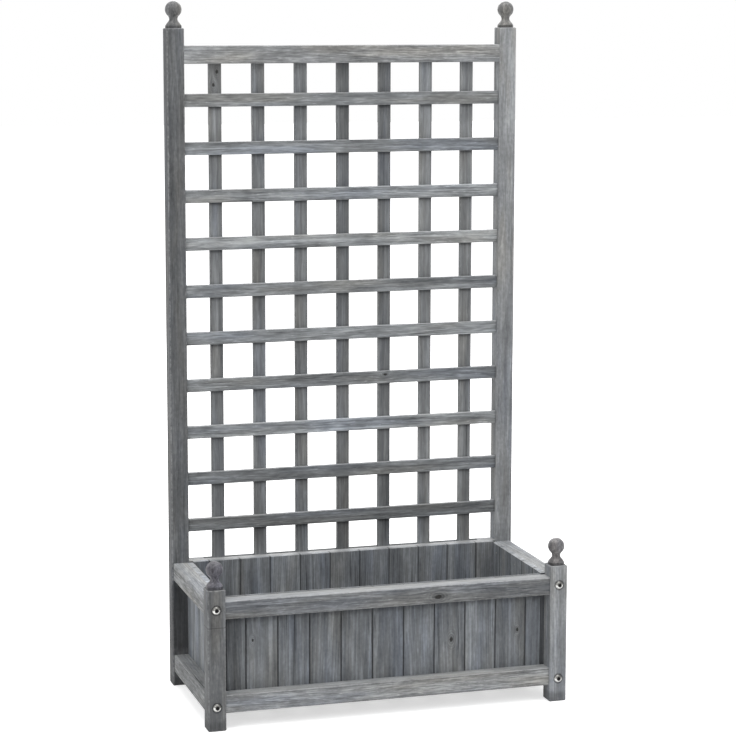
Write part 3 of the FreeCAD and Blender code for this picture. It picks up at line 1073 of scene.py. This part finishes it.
@dataclass
class Brads:
    """Small nail heads on the inner faces of the boards, over the rails, and on the floor."""

    radius: float = 0.0016
    proud: float = 0.0003
    sunk: float = 0.0015
    steps: int = 12
    wander: float = 0.004
    above_edge: float = 0.0205
    floor_shares: tuple[float, float] = (0.25, 0.72)

    def _head(self, mesh: BMesh, where: Vector, facing: Vector) -> None:
        """One nail head.

        Args:
            mesh: The bmesh that it goes into.
            where: Its middle on the timber's face.
            facing: The way that the face looks.
        """
        made = bmesh.ops.create_cone(
            mesh, cap_ends=True, segments=self.steps, radius1=self.radius,
            radius2=self.radius * 0.8, depth=self.proud + self.sunk)["verts"]
        turn = Vector((0, 0, 1)).rotation_difference(facing).to_matrix()
        bmesh.ops.rotate(mesh, verts=made, matrix=turn)
        bmesh.ops.translate(mesh, verts=made, vec=where + facing * (self.proud - self.sunk) / 2)

    def build(self, effects: Effects) -> None:
        """Nail the boards to the rails from inside, and the floor slats to their battens.

        Args:
            effects: The shared node groups.
        """
        steel = ZincSteel(base=(0.42, 0.41, 0.39), roughness=0.45, spots=0.8)
        mesh = bmesh.new()
        for number in range(1, FRONT_BOARDS + 1):
            self._board(mesh, "front_board_%02d" % number, "front", Vector((0, 1, 0)))
        for side, facing in (("left", Vector((1, 0, 0))), ("right", Vector((-1, 0, 0)))):
            for number in range(1, SIDE_BOARDS + 1):
                self._board(mesh, "%s_board_%d" % (side, number), side, facing)
        low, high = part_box("floor_slats")
        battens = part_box("front_floor_batten"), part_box("rear_floor_batten")
        pitch = (high.x - low.x) / FLOOR_SLATS
        for k in range(FLOOR_SLATS):
            for batten in battens:
                for share in self.floor_shares:
                    where = Vector((low.x + (k + share) * pitch,
                                    (batten[0].y + batten[1].y) / 2, high.z))
                    self._head(mesh, where, Vector((0, 0, 1)))
        finish_piece(mesh, "inner_brads", steel.material("brad_zinc", effects))

    def _board(self, mesh: BMesh, board: str, wall: str, facing: Vector) -> None:
        """The nails of one board: one over each of its two rails, a little off its middle.

        Args:
            mesh: The bmesh that they go into.
            board: The board's node.
            wall: The first word of its two rails' nodes.
            facing: The way that the board's inner face looks.
        """
        low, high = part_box(board)
        for level in ("lower", "upper"):
            rail_low, rail_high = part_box("%s_%s_rail" % (wall, level))
            where = (low + high) / 2
            where.z = (rail_low.z + rail_high.z) / 2
            if facing.y > 0:
                where.y = high.y
                where.x += self.wander * math.sin(where.x * 900.0)
            else:
                where.x = high.x if facing.x > 0 else low.x
                where.y += self.wander * math.sin(where.y * 900.0)
            if level == "lower":
                where.z = max(where.z, low.z + self.above_edge + self.radius)
            self._head(mesh, where, facing)


@dataclass
class Timberwork:
    """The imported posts, rails, slats, boards and floor, each dressed in its own timber."""

    post: WeatheredTimber = WeatheredTimber(contrast=0.75, bleached_and_lit=0.12, fine=0.5, mottle=0.5)
    sill_rail: WeatheredTimber = WeatheredTimber(base=(0.227, 0.233, 0.236), contrast=0.85,
                                                 relief=0.0007, bleached_and_lit=0.7, fine=1.0, mottle=0.3)
    rail: WeatheredTimber = replace(sill_rail, bleached_and_lit=0.35)
    slat: WeatheredTimber = WeatheredTimber(base=(0.22, 0.227, 0.234), contrast=0.95,
                                            wear_reach=0.0014, fine=0.8, bleached_and_lit=0.5)
    upright: WeatheredTimber = replace(slat, contrast=0.8, fine=0.4)
    board: WeatheredTimber = WeatheredTimber(base=(0.217, 0.231, 0.246), contrast=0.95,
                                             joint_dirt=0.75, wear_reach=0.0012, bleached_and_lit=0.5,
                                             fine=0.28, mottle=0.3)
    floor: WeatheredTimber = WeatheredTimber(base=(0.155, 0.15, 0.142), contrast=0.8, bleached_and_lit=0.15)
    bolt_heights: tuple[float, float] = (0.041, 0.208)
    bolt_offset: float = 0.015
    foot: float = 0.010
    tongue: float = 0.004
    scribed: float = 0.1775
    drain_gap: float = 0.0077
    inset: float = 0.004
    shade: tuple[float, float, float] = (0.01, 0.002, 0.004)
    # Heights of the painted shade on the rear posts' fronts, where the box shades them.
    inside: tuple[float, float] = (0.075, 0.175)

    def dress(self, effects: Effects, nodes: dict[str, bpy.types.Object]) -> None:
        """Give every packed timber node its own material.

        Args:
            effects: The shared node groups.
            nodes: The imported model's nodes by name.
        """
        tones = self._tones()
        knots = {"front_upper_rail": ((-0.004, -0.085, 0.0042),),
                 "front_board_02": ((-0.016, 0.018, 0.0022),),
                 "front_board_08": ((0.003, -0.008, 0.0034),),
                 "front_board_10": ((0.013, 0.0, 0.0026),),
                 "cross_slat_07": ((0.005, -0.077, 0.0024),),
                 "upright_slat_1": ((0.003, 0.425, 0.0028), (-0.003, 0.402, 0.0028))}
        for number, (name, node) in enumerate(sorted(nodes.items())):
            if name in ("bolts", "front_finials", "rear_finials"):
                continue
            stick = Stick(name, *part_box(name), 3.0 + 1.618 * number, tone=tones.get(name, 1.0),
                          knots=knots.get(name, ()))
            finish, marks = self._marks(stick)
            made = finish.material(effects, replace(stick, **marks))
            for place in node.material_slots:
                place.material = made
            log.info("%s: dressed", name)

    @staticmethod
    def _tones() -> dict[str, float]:
        """How light each piece is beside its finish's own colour: the wood's own tone, and on the
        front left post and the left front boards painted shade as well.

        Returns:
            The tone of each node that has one.
        """
        tones = dict.fromkeys(("right_upper_rail", "right_lower_rail", "rear_upper_rail",
                               "rear_lower_rail"), 0.9)
        tones |= {"front_left_post": 0.62, "front_right_post": 1.05, "rear_left_post": 0.48,
                  "front_upper_rail": 0.7, "front_lower_rail": 1.02, "left_lower_rail": 0.9,
                  "left_upper_rail": 0.94, "trellis_top_rail": 1.04}
        side = (1.19, 1.16, 1.07, 0.95, 0.89)
        rows = {"front_board_%02d": (0.6, 0.81, 0.74, 0.81, 0.7, 0.65, 0.81, 0.86, 0.92, 0.64,
                                     0.93),
                "left_board_%d": side, "right_board_%d": side,
                "cross_slat_%02d": (0.88, 0.83, 1.1, 1.13, 0.85, 0.96, 0.92, 1.14, 0.75, 0.68),
                "upright_slat_%d": (0.72, 0.65, 0.69, 0.53, 0.61, 0.85, 0.76)}
        for pattern, row in rows.items():
            tones |= {pattern % (k + 1): tone for k, tone in enumerate(row)}
        return tones

    def _marks(self, stick: Stick) -> tuple[WeatheredTimber, dict[str, object]]:
        """Choose a piece's finish and what its kind of piece has besides.

        Args:
            stick: The piece.

        Returns:
            The finish, and the changes to the piece.
        """
        name, low, high = stick.name, stick.low, stick.high
        if name.endswith("_post"):
            x = low.x + self.bolt_offset if "left" in name else high.x - self.bolt_offset
            return self.post, {"bolts": (x, *self.bolt_heights),
                               "damp": self._post_shade_and_marks(name, low, high)}
        if name.endswith("_rail"):
            sill = name in ("front_upper_rail", "rear_upper_rail")
            side = name.startswith(("left", "right"))
            return (self.sill_rail if sill else self.rail,
                    {"grain": Grain.SIDE if side else Grain.LONG})
        if name.startswith("cross"):
            return self.slat, {"grain": Grain.LONG, "tint": (0.99, 1.008, 1.012)}
        if name.startswith("upright"):
            # Uprights get painted shadow under each slat that crosses them.
            lowest, next_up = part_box("cross_slat_10")[0].z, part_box("cross_slat_09")[0].z
            return self.upright, {"tint": (0.995, 1.003, 1.005),
                                  "rungs": Rungs(lowest, next_up - lowest, low.y)}
        if name.startswith("front_board"):
            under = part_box("front_upper_rail")[0]
            margin, depth, drop = self.shade
            # Painted shadow that the upper rail casts on the top of the board.
            shade = Damp((low.x - margin, low.y - margin, under.z - drop),
                         (high.x + margin, low.y + depth, high.z), fade=0.014, strength=0.55)
            last = name.endswith("%02d" % FRONT_BOARDS)
            tongue = Vector((0.0 if last else self.tongue, 0.0, 0.0))
            return self.board, {"damp": [shade], "high": high - tongue}
        if name.startswith(("left_board", "right_board")):
            last = name.endswith("%d" % SIDE_BOARDS)
            tongue = Vector((0.0, 0.0 if last else self.tongue, 0.0))
            return self.board, {"grain": Grain.UPRIGHT_SIDE, "high": high - tongue}
        if name == "rear_boards":
            second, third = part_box("front_board_02")[0].x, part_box("front_board_03")[0].x
            pitch = third - second
            return self.board, {"row": Row(-second - (FRONT_BOARDS - 1) * pitch, pitch)}
        if name == "floor_slats":
            pitch = (high.x - low.x + self.drain_gap) / FLOOR_SLATS
            return self.floor, {"grain": Grain.FLAT, "row": Row(low.x - self.drain_gap / 2, pitch)}
        return self.floor, {"grain": Grain.LONG}

    def _post_shade_and_marks(self, name: str, low: Vector, high: Vector) -> list[Damp]:
        """The dark parts of a post: darker at its foot, painted shade on its top round the finial
        and on a rear post's front where the box shades it, and a scribed line.

        Args:
            name: The post's node.
            low: Its lowest corner.
            high: Its highest corner.

        Returns:
            The parts.
        """
        inset = self.inset
        # Darker at the foot.
        damp = [Damp((low.x, low.y, -self.foot), (high.x, high.y, self.foot), strength=0.45),
                # Painted shade on the post's top round the finial's foot.
                Damp((low.x + inset, low.y + inset, high.z),
                     (high.x - inset, high.y - inset, high.z), fade=0.004, strength=0.7)]
        if "rear" in name:
            # Painted shade on a rear post's front where the box's side shades it.
            damp.append(Damp((low.x, low.y - 0.02, self.inside[0]),
                             (high.x, low.y + inset, self.inside[1]), fade=0.02, strength=0.6))
        if name == "front_left_post":
            damp.append(Damp((low.x, low.y, self.scribed), (high.x, high.y, self.scribed + 0.0003),
                             fade=0.0012, strength=0.45))
        return damp


# ---------------------------------------------------------------- the studio
@dataclass
class Studio:
    """A white sweep, soft light from all round, and the camera."""

    camera_place: tuple[float, float, float] = (-1.1430, -3.7758, 1.1951)
    yaw: float = 16.402
    pitch: float = 7.954
    shift: tuple[float, float] = (0.0272, -0.05)
    focal_pixels: float = 2294.8
    image_width: int = 736
    sensor: float = 36.0
    sky: float = 0.52
    floor_size: float = 40.0
    floor_glow: float = 0.6
    floor_near: float = 0.7
    floor_far: float = 1.7
    lamps: tuple[tuple[str, Colour, float, float], ...] = (
        ("overhead", (0.1, -0.9, 3.3), 2.6, 62.0), ("key", (-3.0, -2.2, 2.4), 1.6, 40.0),
        ("fill", (2.4, -3.0, 1.8), 1.8, 15.0), ("back", (0.8, 3.6, 2.2), 2.4, 60.0))

    def build(self) -> None:
        """Set up the floor, the world, the lamps and the camera."""
        bpy.context.scene.view_settings.view_transform = "Standard"
        self._floor()
        self._world()
        for lamp in self.lamps:
            self._lamp(*lamp)
        self._camera()

    def _floor(self) -> None:
        """A white floor that keeps the planter's shadow."""
        mesh = bmesh.new()
        bmesh.ops.create_grid(mesh, x_segments=1, y_segments=1, size=self.floor_size / 2)
        data = bpy.data.meshes.new("studio_floor")
        mesh.to_mesh(data)
        mesh.free()
        floor = bpy.data.objects.new("studio_floor", data)
        bpy.context.scene.collection.objects.link(floor)
        paper = Skin("studio_paper")
        paper.wear(Base_Color=(0.8, 0.8, 0.8), Roughness=1.0, Specular_IOR_Level=0.0)
        x, y, _ = paper.split(paper.where)
        open_floor = paper.between(paper.length(x, y), self.floor_near, self.floor_far)
        level = open_floor * (1.0 - self.floor_glow) + self.floor_glow
        glow = paper.node("ShaderNodeEmission")
        paper.feed(glow.inputs["Strength"], paper.seen() * level)
        both = paper.read("ShaderNodeAddShader", 0, Signal(paper, paper.shader.outputs[0]),
                          Signal(paper, glow.outputs[0]))
        paper.feed(paper.tree.nodes["Material Output"].inputs["Surface"], both)
        data.materials.append(paper.material)

    def _world(self) -> None:
        """A world that is white to look at and lights the planter softly."""
        world = bpy.data.worlds.new("studio_sky")
        bpy.context.scene.world = world
        world.use_nodes = True
        wires = Wiring(world.node_tree)
        seen = wires.seen()
        wires.named(world.node_tree.nodes["Background"].inputs,
                    {"Color": (1.0, 1.0, 1.0), "Strength": seen + (1.0 - seen) * self.sky})

    def _lamp(self, name: str, place: Colour, size: float, power: float) -> None:
        """A square soft lamp that looks at the planter.

        Args:
            name: The lamp's name.
            place: Where it hangs.
            size: Its side.
            power: Its power in watts.
        """
        data = bpy.data.lights.new(name, "AREA")
        data.size = size
        data.energy = power
        lamp = bpy.data.objects.new(name, data)
        bpy.context.scene.collection.objects.link(lamp)
        lamp.location = place
        ahead = Vector((0, 0, 0.5)) - Vector(place)
        lamp.rotation_euler = ahead.to_track_quat("-Z", "Y").to_euler()

    def _camera(self) -> None:
        """The camera, at the height and angle that the planter is seen from."""
        data = bpy.data.cameras.new("camera")
        data.sensor_width = self.sensor
        data.lens = self.focal_pixels / self.image_width * self.sensor
        data.shift_x, data.shift_y = self.shift
        camera = bpy.data.objects.new("camera", data)
        bpy.context.scene.collection.objects.link(camera)
        camera.location = self.camera_place
        yaw, pitch = math.radians(self.yaw), math.radians(self.pitch)
        ahead = Vector((math.sin(yaw) * math.cos(pitch), math.cos(yaw) * math.cos(pitch),
                        -math.sin(pitch)))
        camera.rotation_euler = ahead.to_track_quat("-Z", "Y").to_euler()
        bpy.context.scene.camera = camera


def main() -> None:
    """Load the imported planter, dress it, add its small parts and light it."""
    logging.basicConfig(level=logging.INFO, format="%(name)s: %(message)s")
    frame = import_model()
    effects = Effects()
    Timberwork().dress(effects, frame["nodes"])
    Finials().build(effects)
    Bolts().build(effects)
    Staples().build(effects)
    Brads().build(effects)
    Studio().build()


if __name__ == "__main__":
    main()
